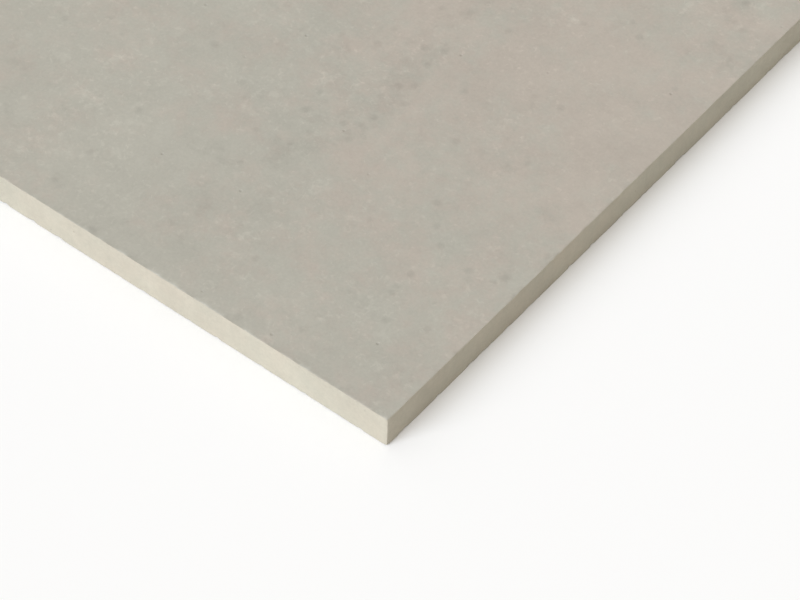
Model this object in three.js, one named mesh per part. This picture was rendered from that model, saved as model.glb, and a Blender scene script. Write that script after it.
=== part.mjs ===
// Calcium silicate board, the flat sheet that lines walls, ceilings and ducts against fire.
// It is pressed and steam-cured as one slab and sawn square, so it is one solid the same all through.
// Units are millimetres and +Z is up. The board lies flat, with the origin at the centre of its back
// face. X runs along its length and Y across its width.

import * as THREE from "three";

// The sheet as it is sold.
const LENGTH = 2440;
const WIDTH = 1220;
const THICKNESS = 12;

// The saw leaves every edge sharp, and handling rubs this much off it.
const ARRIS = 0.3;

// A pale warm grey, quite matte and with no metal in it.
const BOARD_COLOUR = 0xb8b3a7;
const BOARD_ROUGHNESS = 0.95;
const BOARD_METALNESS = 0;

// The sheet seen from above: a rectangle about the origin whose four corners have lost their arris.
function sheetOutline(length, width, arris) {
  const x = length / 2;
  const y = width / 2;
  return new THREE.Shape([
    new THREE.Vector2(-x + arris, -y),
    new THREE.Vector2(x - arris, -y),
    new THREE.Vector2(x, -y + arris),
    new THREE.Vector2(x, y - arris),
    new THREE.Vector2(x - arris, y),
    new THREE.Vector2(-x + arris, y),
    new THREE.Vector2(-x, y - arris),
    new THREE.Vector2(-x, -y + arris),
  ]);
}

// The slab with its arrises taken off. The bevel goes inwards, so the sheet keeps its stated size, and
// it adds its own depth below and above the straight part, so the back face comes out at height 0.
function slabGeometry(length, width, thickness, arris) {
  const slab = new THREE.ExtrudeGeometry(sheetOutline(length, width, arris), {
    depth: thickness - 2 * arris,
    bevelEnabled: true,
    bevelThickness: arris,
    bevelSize: arris,
    bevelOffset: -arris,
    bevelSegments: 1,
  });
  slab.translate(0, 0, arris);
  return slab;
}

function makeBoard() {
  const finish = new THREE.MeshStandardMaterial({
    color: BOARD_COLOUR,
    roughness: BOARD_ROUGHNESS,
    metalness: BOARD_METALNESS,
  });
  const board = new THREE.Mesh(slabGeometry(LENGTH, WIDTH, THICKNESS, ARRIS), finish);
  board.name = "board";
  return board;
}

const model = new THREE.Group();
model.name = "calcium_silicate_board";
model.add(makeBoard());

export default model;
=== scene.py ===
# %% [markdown]
# # A calcium silicate board
# The real thing is a slab of lime, silica and a little fibre, pressed flat, cured in steam and sawn
# square. It has no facing and no coating, so everything the eye gets comes from three things: crisp
# sawn arrises with a little wear, a matte face with faint stains, dots and flecks in it, and sawn
# edges of the same stuff, a little more open in grain.
#
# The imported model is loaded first, because it sets the size and the place of everything here.

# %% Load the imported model
import math

import bmesh
import bpy
from mathutils import Matrix, Quaternion, Vector, noise


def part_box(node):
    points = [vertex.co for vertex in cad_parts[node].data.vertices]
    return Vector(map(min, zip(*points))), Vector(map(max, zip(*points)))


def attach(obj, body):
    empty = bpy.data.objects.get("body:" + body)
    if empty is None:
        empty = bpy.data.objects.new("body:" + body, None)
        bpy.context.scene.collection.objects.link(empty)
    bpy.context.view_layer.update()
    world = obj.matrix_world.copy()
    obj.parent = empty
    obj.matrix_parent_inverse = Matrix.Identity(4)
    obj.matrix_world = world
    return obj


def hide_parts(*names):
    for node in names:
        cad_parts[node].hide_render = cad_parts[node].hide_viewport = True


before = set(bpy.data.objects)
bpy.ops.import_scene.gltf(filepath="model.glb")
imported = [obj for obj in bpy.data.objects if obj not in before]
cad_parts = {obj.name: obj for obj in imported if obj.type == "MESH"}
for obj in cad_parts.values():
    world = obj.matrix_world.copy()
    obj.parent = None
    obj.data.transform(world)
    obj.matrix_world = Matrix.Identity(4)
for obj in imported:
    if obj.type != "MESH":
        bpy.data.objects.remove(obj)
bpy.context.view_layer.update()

LOW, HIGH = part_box("board")
LENGTH, WIDTH, THICKNESS = HIGH - LOW
MILLIMETRE = 0.001
print("board", [round(side / MILLIMETRE, 3) for side in (LENGTH, WIDTH, THICKNESS)], "mm")

# %% [markdown]
# ## The camera
# The photograph is a close view of one corner from above, with a long lens. Its camera can be found
# again from the edges in the picture: two of them run along the board's length, two across it, and the
# short one is the board's thickness. Fitting those lines gives the direction of view, the lens and the
# distance, and one pixel fixes the rest: the one where the board's top corner shows.
#
# A camera looks along its own -Z. Turning it to the view direction first and rolling it after keeps
# the two angles that a photographer would name apart from the slight tilt of the hand.

# %% Camera at the photograph's angle
FRAME_WIDTH, FRAME_HEIGHT = 800, 600            # pixels
CORNER_U, CORNER_V = 387.55, 420.77             # where the near top corner shows, in pixels
FOCAL_LENGTH = 3073.0                           # in pixels
SENSOR_WIDTH = 36.0                             # millimetres
VIEW_AZIMUTH, VIEW_ELEVATION, VIEW_ROLL = (math.radians(a) for a in (37.05, 49.03, 1.67))
CORNER_DEPTH = 0.898                            # metres along the view direction
NEAREST_SEEN = 0.05                             # metres


def direction(azimuth, elevation):
    """The way from the object to a viewer or a light. Azimuth 0 is at the front, -Y."""
    level = math.cos(elevation)
    return Vector((math.sin(azimuth) * level, -math.cos(azimuth) * level, math.sin(elevation)))


def aim(azimuth, elevation, roll=0.0):
    """The rotation of a camera or lamp there that looks back at the object."""
    look = (-direction(azimuth, elevation)).to_track_quat("-Z", "Y")
    return look @ Quaternion((0, 0, 1), roll)


near_corner = Vector((HIGH.x, LOW.y, HIGH.z))
in_view = Vector((
    (CORNER_U - FRAME_WIDTH / 2) / FOCAL_LENGTH * CORNER_DEPTH,
    (FRAME_HEIGHT / 2 - CORNER_V) / FOCAL_LENGTH * CORNER_DEPTH,
    -CORNER_DEPTH,
))
camera = bpy.data.objects.new("camera", bpy.data.cameras.new("camera"))
camera.data.sensor_width = SENSOR_WIDTH
camera.data.lens = FOCAL_LENGTH / FRAME_WIDTH * SENSOR_WIDTH
camera.rotation_mode = "QUATERNION"
camera.rotation_quaternion = aim(VIEW_AZIMUTH, VIEW_ELEVATION, VIEW_ROLL)
camera.location = near_corner - camera.rotation_quaternion @ in_view
camera.data.clip_start = NEAREST_SEEN
bpy.context.scene.collection.objects.link(camera)
bpy.context.scene.camera = camera
print("lens", round(camera.data.lens, 1), "mm, camera at", [round(c, 3) for c in camera.location])

# %% [markdown]
# ## The slab
# A plain box would do for the outline, but a sawn board gives itself away at its arrises: they are
# crisp, yet nowhere perfectly straight, with small nicks where grains broke out. That is shape, not
# surface, because it shows in the outline.
#
# The mesh therefore has its detail only where the wear is. The middle of the face is a coarse grid.
# Its border is divided into columns a little over a millimetre apart, and the border is pulled out,
# over and down in rings: three on the face, three round the arris and three on the edge. The first
# two stay unworn, so that the shading of a nick ends there and doesn't spread over a whole square.
# Scaling a ring about the middle of the board, rather than offsetting it, keeps every column in line.
# The upper half is built first and mirrored, so that front and back match.

# %% Sizes of the slab's mesh
CELLS_LONG, CELLS_WIDE = 61, 30                 # coarse squares on the face, 40 mm each
COLUMNS_PER_CELL = 28                           # 1.4 mm apart along the border
CORNER_ROUND = 0.15 * MILLIMETRE                # how much of an upright corner is rubbed off
CORNER_STEPS = 3

# Each ring is (how far inside the board's side, how far below its face), from the face to the edge.
FACE_RINGS = ((2.2 * MILLIMETRE, 0.0), (1.7 * MILLIMETRE, 0.0), (0.7 * MILLIMETRE, 0.0))
ARRIS_RINGS = ((0.1 * MILLIMETRE, 0.0), (0.03 * MILLIMETRE, 0.03 * MILLIMETRE), (0.0, 0.1 * MILLIMETRE))
EDGE_RINGS = ((0.0, 0.7 * MILLIMETRE), (0.0, 1.9 * MILLIMETRE), (0.0, THICKNESS / 2))
RINGS = FACE_RINGS + ARRIS_RINGS + EDGE_RINGS
MERGE_WITHIN = 0.01 * MILLIMETRE


def size_inside(inset):
    """Length and width of a ring that lies this far inside the board's sides."""
    return Vector((LENGTH - 2 * inset, WIDTH - 2 * inset, 1.0))


cell_side = size_inside(RINGS[0][0]).x / CELLS_LONG
print("rings:", len(RINGS), "columns every", round(cell_side / COLUMNS_PER_CELL / MILLIMETRE, 2), "mm")


# %% The coarse face, with its corners rounded and its border divided
def coarse_face():
    """A flat grid as large as the innermost ring, level with the front face.

    The grid starts one metre square, as size is half its side, and is scaled from there.
    """
    slab = bmesh.new()
    bmesh.ops.create_grid(slab, x_segments=CELLS_LONG, y_segments=CELLS_WIDE, size=0.5)
    bmesh.ops.scale(slab, vec=size_inside(RINGS[0][0]), verts=slab.verts)
    bmesh.ops.translate(slab, vec=(0, 0, THICKNESS / 2), verts=slab.verts)
    corners = [v for v in slab.verts if len(v.link_edges) == 2]
    bmesh.ops.bevel(slab, geom=corners, offset=CORNER_ROUND, segments=CORNER_STEPS,
                    affect="VERTICES", profile=0.5, material=-1)
    straight = [e for e in slab.edges if e.is_boundary and e.calc_length() > 2 * CORNER_ROUND]
    bmesh.ops.subdivide_edges(slab, edges=straight, cuts=COLUMNS_PER_CELL - 1)
    return slab


slab = coarse_face()
print("columns round the border:", sum(e.is_boundary for e in slab.edges))

# %% [markdown]
# `extrude_edge_only` copies the border in place and joins old to new with a row of faces. Only the
# new border is then scaled and lowered, so each call makes one ring.

# %% Rings over the arris and down the edge, then the mirrored half
def pull_rings(slab):
    """Pulls the border out and down through all rings after the first."""
    for (inset, depth), (next_inset, next_depth) in zip(RINGS, RINGS[1:]):
        border = [e for e in slab.edges if e.is_boundary]
        new = bmesh.ops.extrude_edge_only(slab, edges=border)["geom"]
        ring = [v for v in new if isinstance(v, bmesh.types.BMVert)]
        now, wanted = size_inside(inset), size_inside(next_inset)
        bmesh.ops.scale(slab, vec=(wanted.x / now.x, wanted.y / now.y, 1), verts=ring)
        bmesh.ops.translate(slab, vec=(0, 0, depth - next_depth), verts=ring)


pull_rings(slab)
bmesh.ops.mirror(slab, geom=slab.verts[:] + slab.edges[:] + slab.faces[:],
                 matrix=Matrix.Identity(4), axis="Z", merge_dist=MERGE_WITHIN)
bmesh.ops.recalc_face_normals(slab, faces=slab.faces)
print("faces:", len(slab.faces), "open edges:", sum(e.is_boundary for e in slab.edges))

# %% [markdown]
# ## Wear on the arrises
# Handling rubs an arris away unevenly, and here and there a grain breaks out. Both only take material
# off, so every point moves inwards or stays, and the board keeps its size. At each place a noise says
# how wide the arris is there: a slow one for the rub, and the tips of a quicker one for the nicks. A
# point closer to the old arris than that is pushed back along both faces equally. The upper corners
# are what gets knocked on a board that lies flat, so they lose a little more.

# %% Rub and nick the arrises
RUB_LEAST, RUB_SPREAD = 0.03 * MILLIMETRE, 0.17 * MILLIMETRE
RUB_LENGTH = 6 * MILLIMETRE                     # how far the rub keeps about the same width
NICK_LENGTH = 2.3 * MILLIMETRE
NICK_ABOVE, NICK_DEPTH = 0.14, 1.3 * MILLIMETRE
NICK_SHIFT = Vector((3.7, 1.9, 5.3))            # takes the nicks from another part of the noise
CORNER_REACH, CORNER_EXTRA = 4 * MILLIMETRE, 0.5 * MILLIMETRE
HALF = Vector((LENGTH, WIDTH, THICKNESS)) / 2
REACH = 1.2 * MILLIMETRE                        # points farther from the arris than this keep still
ARRIS_AXES = ((0, 2), (1, 2), (0, 1))           # the two directions across each kind of arris


def arris_width(place, from_corner):
    """How much of the arris is gone here, measured along each of its two faces and added up."""
    rub = RUB_LEAST + RUB_SPREAD * (0.5 + 0.5 * noise.noise(place / RUB_LENGTH))
    nick = max(0.0, noise.noise(place / NICK_LENGTH + NICK_SHIFT) - NICK_ABOVE) * NICK_DEPTH
    knock = CORNER_EXTRA * max(0.0, 1 - from_corner / CORNER_REACH)
    return rub + nick + (knock if place.z > 0 else 0.0)


def wear(slab):
    """Pushes each point that is closer to an arris than its width there back along both faces."""
    moved = 0
    for vertex in slab.verts:
        depth = [half - abs(part) for half, part in zip(HALF, vertex.co)]
        if sorted(depth)[1] > REACH:
            continue
        from_corner = max(depth[0], depth[1])
        width = arris_width(vertex.co.copy(), from_corner)
        for a, b in ARRIS_AXES:
            short = width - depth[a] - depth[b]
            if short > 0:
                moved += 1
                for axis in (a, b):
                    depth[axis] += short / 2
                    vertex.co[axis] -= math.copysign(short / 2, vertex.co[axis])
    return moved


print("points moved by wear:", wear(slab))

# %% [markdown]
# ## Edges, finishes and the map
# The faces are shaded smooth, and only folds sharper than an angle stay as creases. A face that looks
# up or down is board face, and the rest is sawn edge, so the finish of each polygon follows from
# where it points.
#
# The board also gets a map of its own, so that its colours can be drawn into one square picture: the
# two faces one above the other, and below them a strip for each of the four edges. The strips are much
# taller than true scale, because 12 mm in 2440 would be only a few pixels.

# %% Shade the faces and pick a finish for each
CREASE_ANGLE = math.radians(40)
FINISHES = ("board_face", "board_back", "board_sawn_edge")
FACE, BACK, SAWN_EDGE = range(len(FINISHES))
LOOKS_UP = 0.8                                  # the vertical part of a face's normal


def finish_of(polygon):
    """The number of this polygon's finish."""
    if polygon.normal.z > LOOKS_UP:
        return FACE
    return BACK if polygon.normal.z < -LOOKS_UP else SAWN_EDGE


slab.normal_update()
for edge in slab.edges:
    edge.smooth = edge.calc_face_angle() < CREASE_ANGLE
for polygon in slab.faces:
    polygon.smooth = True
    polygon.material_index = finish_of(polygon)
print("sharp folds:", sum(not e.smooth for e in slab.edges))

# %% Lay out the map
MAP_GAP = 0.006
MAP_WIDTH = 1 - 2 * MAP_GAP
FACE_HEIGHT = 0.43
STRIP_OF = {(1, -1): 0, (0, 1): 1, (1, 1): 2, (0, -1): 3}   # (axis, side) of each edge
GAPS = 2 + len(STRIP_OF) + 1                    # one below each face and strip, and one on top
STRIP_HEIGHT = (1 - 2 * FACE_HEIGHT - GAPS * MAP_GAP) / len(STRIP_OF)


def map_place(polygon, co):
    """Where a point of this polygon lies in the square map."""
    along_x = (co.x - LOW.x) / LENGTH
    along_y = (co.y - LOW.y) / WIDTH
    up = co.z / THICKNESS + 0.5
    if polygon.material_index != SAWN_EDGE:
        row = 1 if polygon.material_index == FACE else 2
        bottom = 1 - row * (MAP_GAP + FACE_HEIGHT)
        return Vector((MAP_GAP + MAP_WIDTH * along_x, bottom + FACE_HEIGHT * along_y))
    normal = polygon.normal
    axis = 0 if abs(normal.x) > abs(normal.y) else 1
    strip = STRIP_OF[axis, 1 if normal[axis] > 0 else -1]
    along = along_y if axis == 0 else along_x
    bottom = MAP_GAP + strip * (STRIP_HEIGHT + MAP_GAP)
    return Vector((MAP_GAP + MAP_WIDTH * along, bottom + STRIP_HEIGHT * up))


chart = slab.loops.layers.uv.new("OFBake")
for polygon in slab.faces:
    for loop in polygon.loops:
        loop[chart].uv = map_place(polygon, loop.vert.co)
print("strip height in the map:", round(STRIP_HEIGHT, 4))

# %% The finished piece
bmesh.ops.translate(slab, vec=(LOW + HIGH) / 2, verts=slab.verts)
mesh = bpy.data.meshes.new("sheet")
slab.to_mesh(mesh)
slab.free()
sheet = bpy.data.objects.new("sheet", mesh)
bpy.context.scene.collection.objects.link(sheet)
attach(sheet, "root")
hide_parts("board")
mesh.calc_loop_triangles()
print("triangles:", len(mesh.loop_triangles))

# %% [markdown]
# ## Finishes
# The board is one material all through, so its three finishes share a stock of patterns. Each pattern
# is a number at every point in space, read from Object coordinates, which are metres here: a noise of
# size 0.01 has lumps of 10 mm. The colour is the board's own grey times one plus all the patterns,
# each with its own weight. The weights are small, because on a real board the tone changes by only a
# few parts in a hundred, and the eye still finds the surface dead as soon as that is missing.
#
# Building a tree node by node is wordy, so two small functions do it: `add` makes one node and sets or
# links its inputs, and `reckon` is one step of arithmetic.

# %% One node, and one step of arithmetic
def add(tree, kind, inputs=None, **fields):
    """Adds a shader node. Inputs are values or the outputs of other nodes, by name or number."""
    node = tree.nodes.new("ShaderNode" + kind)
    for name, value in fields.items():
        setattr(node, name, value)
    for name, value in (inputs or {}).items():
        if isinstance(value, bpy.types.NodeSocket):
            tree.links.new(value, node.inputs[name])
        else:
            node.inputs[name].default_value = value
    return node


def reckon(tree, operation, *values):
    """One step of arithmetic on numbers or sockets."""
    return add(tree, "Math", dict(enumerate(values)), operation=operation).outputs[0]


def weighted(tree, patterns, start=0.0):
    """The start value plus the sum of each pattern times its weight."""
    total = start
    for pattern, weight in patterns:
        total = reckon(tree, "MULTIPLY_ADD", pattern, weight, total)
    return total


# %% [markdown]
# Three kinds of pattern are enough here. A noise gives soft lumps. A smooth step cuts marks with soft
# borders out of them. The cells of a Voronoi texture give round spots: each cell has a random colour,
# which picks the cells that hold a spot, and a distance from its middle, which gives the spot's size.

# %% Lumps, steps and spots
SPOT_CORE = 0.3                                 # the part of a spot's radius that is full strength


def lumps(tree, place, size, detail=3.0, roughness=0.6, distortion=0.0):
    """Soft lumps of about this size in metres, as a number between about -1 and 1."""
    node = add(tree, "TexNoise", {
        "Vector": place, "Scale": 1 / size, "Detail": detail, "Roughness": roughness,
        "Distortion": distortion,
    })
    return reckon(tree, "MULTIPLY_ADD", node.outputs["Fac"], 2.0, -1.0)


def step_up(tree, value, start, end):
    """0 before start and 1 past end, with a smooth change between them."""
    node = add(tree, "MapRange", {"Value": value, "From Min": start, "From Max": end},
               interpolation_type="SMOOTHSTEP")
    return node.outputs["Result"]


def spots(tree, place, spacing, radius, share):
    """Round spots in a share of cells this far apart, 1 in the middle and 0 outside."""
    cell = add(tree, "TexVoronoi", {"Vector": place, "Scale": 1 / spacing})
    pick = add(tree, "SeparateColor", {"Color": cell.outputs["Color"]}).outputs["Red"]
    far = radius / spacing
    inside = step_up(tree, cell.outputs["Distance"], far, far * SPOT_CORE)
    return reckon(tree, "MULTIPLY", reckon(tree, "LESS_THAN", pick, share), inside)


# %% Moving, bending and mixing
def shifted(tree, place, shift=(0, 0, 0), stretch=(1, 1, 1)):
    """The same coordinates moved, and drawn out along an axis where stretch is small."""
    node = add(tree, "Mapping", {"Vector": place, "Location": shift, "Scale": stretch})
    return node.outputs["Vector"]


def shaken(tree, place, size, amount):
    """Coordinates pushed to and fro by up to this much, so that round spots come out uneven."""
    noise_colour = add(tree, "TexNoise", {"Vector": place, "Scale": 1 / size}).outputs["Color"]
    centred = add(tree, "VectorMath", {0: noise_colour, 1: (0.5, 0.5, 0.5)}, operation="SUBTRACT")
    pushed = add(tree, "VectorMath", {0: centred.outputs["Vector"], 1: (2 * amount,) * 3, 2: place},
                 operation="MULTIPLY_ADD")
    return pushed.outputs["Vector"]


def blend_colours(tree, amount, first, second):
    """The first colour where amount is 0 and the second where it is 1."""
    node = add(tree, "Mix", data_type="RGBA")
    sockets = {s.identifier: s for s in node.inputs}
    tree.links.new(amount, sockets["Factor_Float"])
    sockets["A_Color"].default_value = first
    sockets["B_Color"].default_value = second
    return next(s for s in node.outputs if s.identifier == "Result_Color")


def times(tree, colour, number):
    """A colour times a number."""
    return add(tree, "VectorMath", {0: colour, "Scale": number}, operation="SCALE").outputs["Vector"]


# %% [markdown]
# ### The board's two greys
# The slurry of lime and silica is never mixed quite evenly, so the face has fields of a cool stone
# grey and fields of a warm beige grey, a hundred millimetres or more across. A slow noise places them.
# A quicker one is added before a smooth step is taken, so the fields are nearly even inside and their
# borders are ragged, with a few islands.

# %% Greys
def from_screen(red, green, blue):
    """A colour as a screen gives it, 0 to 255, turned into the light values that a shader wants.

    The three numbers are those of the sRGB curve.
    """
    parts = [c / 255 for c in (red, green, blue)]
    return tuple(((c + 0.055) / 1.055) ** 2.4 for c in parts) + (1.0,)


COOL_GREY = from_screen(178.1, 175.5, 164.7)
WARM_GREY = from_screen(182.6, 173.9, 163.2)
DRIFT_SIZE, DRIFT_SHIFT = 0.22, (4.102, 6.484, 0.0)
MOTTLE_SIZE = 0.02
DRIFT_SHARE, MOTTLE_SHARE = 0.9, 1.05
ALL_COOL, ALL_WARM = -0.33, 0.49                # sums at which the face is wholly one grey


def mixing_drift(tree, place):
    """How the mix drifts: below 0 where it is cool and above where it is warm."""
    moved = shifted(tree, place, shift=DRIFT_SHIFT)
    return lumps(tree, moved, DRIFT_SIZE, detail=2.0, roughness=0.5)


def two_greys(tree, place, drift):
    """The face's base colour."""
    mottle = lumps(tree, place, MOTTLE_SIZE, detail=4.0, roughness=0.8)
    mix = weighted(tree, ((drift, DRIFT_SHARE), (mottle, MOTTLE_SHARE)))
    return blend_colours(tree, step_up(tree, mix, ALL_COOL, ALL_WARM), COOL_GREY, WARM_GREY)


print("cool", [round(c, 3) for c in COOL_GREY[:3]], "warm", [round(c, 3) for c in WARM_GREY[:3]])

# %% [markdown]
# ### Dark marks
# Where the mix was wetter, the face is stained: soft dark patches and round dots of two or three
# millimetres, crowded along a broad wandering vein and thin elsewhere. A noise crosses zero along
# lines, so a step on its distance from zero draws the vein. It then raises the share of cells that
# hold a dot and brings out more of the stains, instead of darkening the face by itself.

# %% Vein, stains and dots
VEIN_SIZE, VEIN_SHIFT = 0.17, (1.954, 1.808, 0.0)
VEIN_WIDTH = 0.1                                # the noise value at which the vein has faded out
VEIN_STARTS, VEIN_FULL = -0.25, 0.1             # drift values, as the vein fades in cool fields
STAIN_SIZE, STAIN_STARTS, STAIN_FULL = 0.009, 0.15, 0.5
STAINS_IN_VEIN = 0.3
DOT_SPACING, DOT_RADIUS = 0.0058, 0.0021
DOTS_ANYWHERE, DOTS_IN_VEIN = 0.15, 0.8         # shares of the cells that hold one
DOT_UNEVEN = 0.0004


def vein_through(tree, place, drift):
    """A broad wandering line, 1 along its middle."""
    moved = shifted(tree, place, shift=VEIN_SHIFT)
    ridge = lumps(tree, moved, VEIN_SIZE, distortion=0.6)
    line = step_up(tree, reckon(tree, "ABSOLUTE", ridge), VEIN_WIDTH, 0.0)
    return reckon(tree, "MULTIPLY", line, step_up(tree, drift, VEIN_STARTS, VEIN_FULL))


def stains(tree, place, vein):
    """Soft dark patches."""
    soft = lumps(tree, place, STAIN_SIZE, detail=4.0)
    raised = weighted(tree, ((vein, STAINS_IN_VEIN),), start=soft)
    return step_up(tree, raised, STAIN_STARTS, STAIN_FULL)


def dots(tree, place, vein):
    """Round dark dots, a little uneven."""
    share = weighted(tree, ((vein, DOTS_IN_VEIN),), start=DOTS_ANYWHERE)
    return spots(tree, shaken(tree, place, DOT_SPACING, DOT_UNEVEN), DOT_SPACING, DOT_RADIUS, share)


print("cells with a dot:", DOTS_ANYWHERE, "and in the vein", round(DOTS_ANYWHERE + DOTS_IN_VEIN, 2))

# %% [markdown]
# ### Pale marks
# Fibre in the mix comes up in beds, more in the cool fields than in the warm ones. In a bed the face
# has pale smears, short flecks, and here and there a bit of fibre itself: a thin curled line. The line
# is drawn as the vein is, from a much smaller noise, and a second noise cuts it to short pieces.

# %% Beds, smears, flecks and fibres
BED_SIZE, BED_SHIFT = 0.025, (0.7, 2.1, 0.0)
BED_IN_COOL = -0.3                              # how the drift adds to a bed
BED_PULL = 0.3                                  # how much easier a mark comes up in a bed
# Each of these is a size, a shift and the noise values at which a mark starts and is full.
SMEARS = (0.008, (6.3, 0.8, 0.0), (0.15, 0.5))
FLECKS = (0.0032, (4.1, 0.2, 0.0), (0.18, 0.45))
FIBRE_PIECES = (0.0025, (3.9, 7.4, 0.0), (0.12, 0.3))
FIBRE_CURL, FIBRE_SHIFT = 0.004, (1.3, 5.2, 0.0)
FIBRE_WIDTH = 0.1                               # the noise value at which a fibre has faded out


def fibre_bed(tree, place, drift):
    """Where fibre lies near the face, above 0."""
    bed = lumps(tree, shifted(tree, place, shift=BED_SHIFT), BED_SIZE, detail=2.0)
    return weighted(tree, ((drift, BED_IN_COOL),), start=bed)


def pale_marks(tree, place, bed, kind, roughness=0.6):
    """Pale marks of one kind where the noise and the bed together pass the starting value."""
    size, shift, (starts, full) = kind
    height = lumps(tree, shifted(tree, place, shift=shift), size, roughness=roughness)
    return step_up(tree, weighted(tree, ((bed, BED_PULL),), start=height), starts, full)


def fibres(tree, place, bed):
    """Thin curled lines, cut to short pieces."""
    curl = lumps(tree, shifted(tree, place, shift=FIBRE_SHIFT), FIBRE_CURL, detail=1.0)
    line = step_up(tree, reckon(tree, "ABSOLUTE", curl), FIBRE_WIDTH, 0.0)
    return reckon(tree, "MULTIPLY", line, pale_marks(tree, place, bed, FIBRE_PIECES))


print("fibre shows in pieces of about", FIBRE_PIECES[0] / MILLIMETRE, "mm")

# %% [markdown]
# ### The face
# The rest of the face is slower and finer than its marks: a drift of tone over the whole sheet, faint
# streaks along it from the press belt, clouds of a few centimetres, a fine grain, a pit here and
# there, and a slightly darker band along the two long edges. Each pit is also painted darker, which is
# painted shade in its hollow. The weights say how much each pattern lightens the face, or darkens it
# where they are below zero.

# %% Face colour
TONE_SIZE, TONE_SHIFT = 0.45, (2.2, 0.9, 0.0)
STREAK_SIZE, STREAK_STRETCH = 0.05, (0.05, 1, 1)
CLOUD_SIZE = 0.035
GRAIN_SIZE = 0.0011
PIT_SPACING, PIT_RADIUS, PIT_SHARE = 0.009, 0.0007, 0.3
BORDER_WIDTH = 3 * MILLIMETRE
# The pits' weight below zero darkens the colour inside each pit: painted shade in the hollow.
FACE_WEIGHTS = {
    "tone": 0.03, "streaks": 0.012, "clouds": 0.19, "stains": -0.055, "dots": -0.08, "smears": 0.07,
    "flecks": 0.075, "fibres": 0.08, "grain": 0.07, "pits_with_painted_shade": -0.08, "border": -0.045,
}


def face_patterns(tree, place):
    """The face's patterns by name, and the drift that its greys follow."""
    drift = mixing_drift(tree, place)
    vein = vein_through(tree, place, drift)
    bed = fibre_bed(tree, place, drift)
    tone_place = shifted(tree, place, shift=TONE_SHIFT)
    streak_place = shifted(tree, place, stretch=STREAK_STRETCH)
    return drift, {
        "tone": lumps(tree, tone_place, TONE_SIZE, detail=2.0, roughness=0.5),
        "streaks": lumps(tree, streak_place, STREAK_SIZE),
        "clouds": lumps(tree, place, CLOUD_SIZE, detail=7.0, roughness=0.95),
        "stains": stains(tree, place, vein),
        "dots": dots(tree, place, vein),
        "smears": pale_marks(tree, place, bed, SMEARS, roughness=0.7),
        "flecks": pale_marks(tree, place, bed, FLECKS),
        "fibres": fibres(tree, place, bed),
        "grain": lumps(tree, place, GRAIN_SIZE, detail=2.0, roughness=0.7),
        # The pits' spots, used both to sink them and as painted shade inside them.
        "pits_with_painted_shade": spots(tree, place, PIT_SPACING, PIT_RADIUS, PIT_SHARE),
    }


def face_colour(tree, place, shift=(0, 0, 0)):
    """The face's colour, and the patterns that its relief shares with it."""
    moved = shifted(tree, place, shift=shift)
    drift, patterns = face_patterns(tree, moved)
    across = reckon(tree, "ABSOLUTE", add(tree, "SeparateXYZ", {0: place}).outputs["Y"])
    patterns["border"] = step_up(tree, across, WIDTH / 2 - BORDER_WIDTH, WIDTH / 2)
    shade = weighted(tree, [(patterns[name], w) for name, w in FACE_WEIGHTS.items()], start=1.0)
    return times(tree, two_greys(tree, moved, drift), shade), patterns


print("patterns on the face:", ", ".join(FACE_WEIGHTS))

# %% [markdown]
# The finish adds the feel of the surface to its colour. It is matte, so its roughness is high and its
# mirror part weak. A bump makes the grain stand up by a hundredth of a millimetre and sinks the pits
# by a tenth: too little to model, and enough to catch the low light.

# %% Face finish
MIRROR_PART = 0.25                              # the shader's own default is twice this
GRAIN_HEIGHT = 0.1                              # of a pit's depth
GRAIN_ROUGHNESS = 0.03
FACE_ROUGHNESS = 0.93
PIT_DEPTH = 0.1 * MILLIMETRE


def matte(name, colour_of, roughness, pit_depth):
    """A matte mineral finish: its colour, and a relief of grain and pits this deep in metres."""
    material = bpy.data.materials.new(name)
    material.use_nodes = True
    tree = material.node_tree
    shader = tree.nodes["Principled BSDF"]
    colour, patterns = colour_of(tree, add(tree, "TexCoord").outputs["Object"])
    height = weighted(tree, ((patterns["grain"], GRAIN_HEIGHT), (patterns["pits_with_painted_shade"], -1.0)))
    bump = add(tree, "Bump", {"Height": height, "Distance": pit_depth, "Strength": 1.0})
    uneven = weighted(tree, ((patterns["grain"], GRAIN_ROUGHNESS),), start=roughness)
    tree.links.new(colour, shader.inputs["Base Color"])
    tree.links.new(uneven, shader.inputs["Roughness"])
    tree.links.new(bump.outputs["Normal"], shader.inputs["Normal"])
    shader.inputs["Specular IOR Level"].default_value = MIRROR_PART
    sheet.data.materials.append(material)
    print("finish:", name, "with", len(tree.nodes), "nodes")


matte("board_face", face_colour, FACE_ROUGHNESS, PIT_DEPTH)

# %% [markdown]
# ### The back
# The back is the same pressed surface, so it has the same finish. Reading the patterns from another
# part of the noise keeps the two sides from being copies of each other.

# %% Back finish
BACK_SHIFT = (5.1, 3.3, 0.7)


def back_colour(tree, place):
    """The face's colour from elsewhere in the patterns."""
    return face_colour(tree, place, shift=BACK_SHIFT)


matte("board_back", back_colour, FACE_ROUGHNESS, PIT_DEPTH)

# %% [markdown]
# ### The sawn edge
# The saw opens the slab's inside, which is even cream grey with no layers. Its teeth leave faint
# upright strokes, drawn here by stretching a noise along the board's thickness, and the open grain
# makes the pits closer and deeper than on the face. As on the face, each pit is also painted darker,
# which is painted shade in its hollow.

# %% Sawn edge finish
COOL_SAWN = from_screen(179, 175, 159.5)
WARM_SAWN = from_screen(182.5, 174, 158)
SAWN_HUE_SIZE, SAWN_HUE_SHARE = 0.05, 1.2
SAWN_CLOUD_SIZE = 0.03
STROKE_SIZE, STROKE_STRETCH = 0.0018, (1, 1, 0.12)
SAWN_GRAIN_SIZE = 0.001
SAWN_PIT_SPACING, SAWN_PIT_RADIUS, SAWN_PIT_SHARE = 0.005, 0.0005, 0.35
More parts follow.
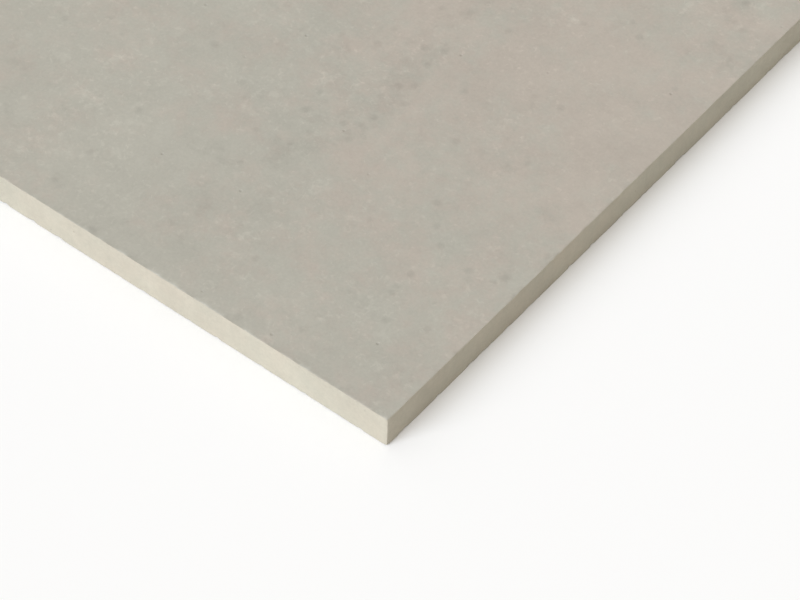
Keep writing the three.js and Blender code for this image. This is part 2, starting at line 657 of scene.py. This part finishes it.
# The pits' weight below zero darkens the colour inside each pit: painted shade in the hollow.
SAWN_WEIGHTS = {"clouds": 0.22, "strokes": 0.03, "grain": 0.07, "pits_with_painted_shade": -0.08}
SAWN_ROUGHNESS = 0.96
SAWN_PIT_DEPTH = 0.15 * MILLIMETRE


def sawn_colour(tree, place):
    """The sawn edge's colour, and the patterns that its relief shares with it."""
    hue = lumps(tree, place, SAWN_HUE_SIZE, detail=4.0, roughness=0.8)
    warmth = weighted(tree, ((hue, SAWN_HUE_SHARE),), start=0.5)
    patterns = {
        "clouds": lumps(tree, place, SAWN_CLOUD_SIZE, detail=6.0, roughness=0.95),
        "strokes": lumps(tree, shifted(tree, place, stretch=STROKE_STRETCH), STROKE_SIZE, detail=2.0),
        "grain": lumps(tree, place, SAWN_GRAIN_SIZE, detail=2.0, roughness=0.7),
        # The pits' spots, used both to sink them and as painted shade inside them.
        "pits_with_painted_shade": spots(tree, place, SAWN_PIT_SPACING, SAWN_PIT_RADIUS, SAWN_PIT_SHARE),
    }
    shade = weighted(tree, [(patterns[name], w) for name, w in SAWN_WEIGHTS.items()], start=1.0)
    return times(tree, blend_colours(tree, warmth, COOL_SAWN, WARM_SAWN), shade), patterns


matte("board_sawn_edge", sawn_colour, SAWN_ROUGHNESS, SAWN_PIT_DEPTH)

# %% [markdown]
# ## Floor and light
# The floor is plain and nearly white. The light is a large soft source low at the front left, which
# makes the long edge the brightest side. A glow all round, stronger overhead than at the horizon,
# keeps the shaded end from going dark and softens the shadow. The source is a little cool and the
# glow a little warm, so the two edges differ in colour as well as in brightness. Both come from
# infinitely far away, so the board is lit the same from one end to the other and in every view.
#
# The backdrop that the camera sees past the floor's end has the floor's own brightness. That is
# worked out, not guessed: a matte surface shows its own whiteness times the light that lands on it.
# A glow that grows evenly with height lands on a level floor as two thirds of what it gains.

# %% Light
KEY_AZIMUTH, KEY_ELEVATION, KEY_ANGLE = (math.radians(a) for a in (-12.0, 26.5, 40.0))
KEY_STRENGTH = 2.82                             # watts per square metre, square to the beam
KEY_TINT = (0.94, 1.0, 1.10)
GLOW_LOW, GLOW_HIGH = 0.26, 0.80                # radiance at the horizon and overhead
GLOW_TINT = (1.045, 1.0, 0.92)
GLOW_GAIN_ON_FLOOR = 2 / 3
FLOOR_WHITENESS = 0.95

key = bpy.data.objects.new("key", bpy.data.lights.new("key", "SUN"))
key.data.energy = KEY_STRENGTH
key.data.color = KEY_TINT
key.data.angle = KEY_ANGLE
key.rotation_mode = "QUATERNION"
key.rotation_quaternion = aim(KEY_AZIMUTH, KEY_ELEVATION)
bpy.context.scene.collection.objects.link(key)

from_key = KEY_STRENGTH * math.sin(KEY_ELEVATION) / math.pi
from_glow = GLOW_LOW + (GLOW_HIGH - GLOW_LOW) * GLOW_GAIN_ON_FLOOR
floor_shine = [FLOOR_WHITENESS * (from_key * a + from_glow * b) for a, b in zip(KEY_TINT, GLOW_TINT)]
print("level light", round(from_key + from_glow, 3), "floor", [round(c, 3) for c in floor_shine])

# %% Glow and backdrop
world = bpy.data.worlds.new("studio")
world.use_nodes = True
bpy.context.scene.world = world
tree = world.node_tree
tree.nodes.clear()
height = add(tree, "SeparateXYZ", {0: add(tree, "TexCoord").outputs["Generated"]}).outputs["Z"]
strength = add(tree, "MapRange", {"Value": height, "To Min": GLOW_LOW, "To Max": GLOW_HIGH})
glow = add(tree, "Background", {"Color": GLOW_TINT + (1,), "Strength": strength.outputs["Result"]})
backdrop = add(tree, "Background", {"Color": tuple(floor_shine) + (1,)})
seen = add(tree, "LightPath").outputs["Is Camera Ray"]
choice = add(tree, "MixShader", {0: seen, 1: glow.outputs[0], 2: backdrop.outputs[0]})
add(tree, "OutputWorld", {"Surface": choice.outputs[0]})
print("glow from", GLOW_LOW, "to", GLOW_HIGH)

# %% Floor
FLOOR_RADIUS = 150.0                            # metres, so that its end is far out of sight
FLOOR_SIDES = 96
FLOOR_CLEARANCE = 0.1 * MILLIMETRE              # keeps the floor out of the plane of the board's back

ground = bmesh.new()
bmesh.ops.create_circle(ground, cap_ends=True, radius=FLOOR_RADIUS, segments=FLOOR_SIDES)
bmesh.ops.translate(ground, vec=(0, 0, LOW.z - FLOOR_CLEARANCE), verts=ground.verts)
floor = bpy.data.objects.new("floor", bpy.data.meshes.new("floor"))
ground.to_mesh(floor.data)
ground.free()
bpy.context.scene.collection.objects.link(floor)

paint = bpy.data.materials.new("floor_paint")
paint.use_nodes = True
flat = paint.node_tree.nodes["Principled BSDF"]
flat.inputs["Base Color"].default_value = (FLOOR_WHITENESS, FLOOR_WHITENESS, FLOOR_WHITENESS, 1)
flat.inputs["Roughness"].default_value = 1.0
flat.inputs["Specular IOR Level"].default_value = 0.0
floor.data.materials.append(paint)
print("floor looks up:", floor.data.polygons[0].normal.z > 0)

# %% [markdown]
# ## Output
# The Standard view transform shows light values as they are, so the colours above can be compared
# with a photograph directly. The default one is made for bright, contrasty scenes and would grey them.

bpy.context.scene.view_settings.view_transform = "Standard"
bpy.context.scene.view_settings.look = "None"
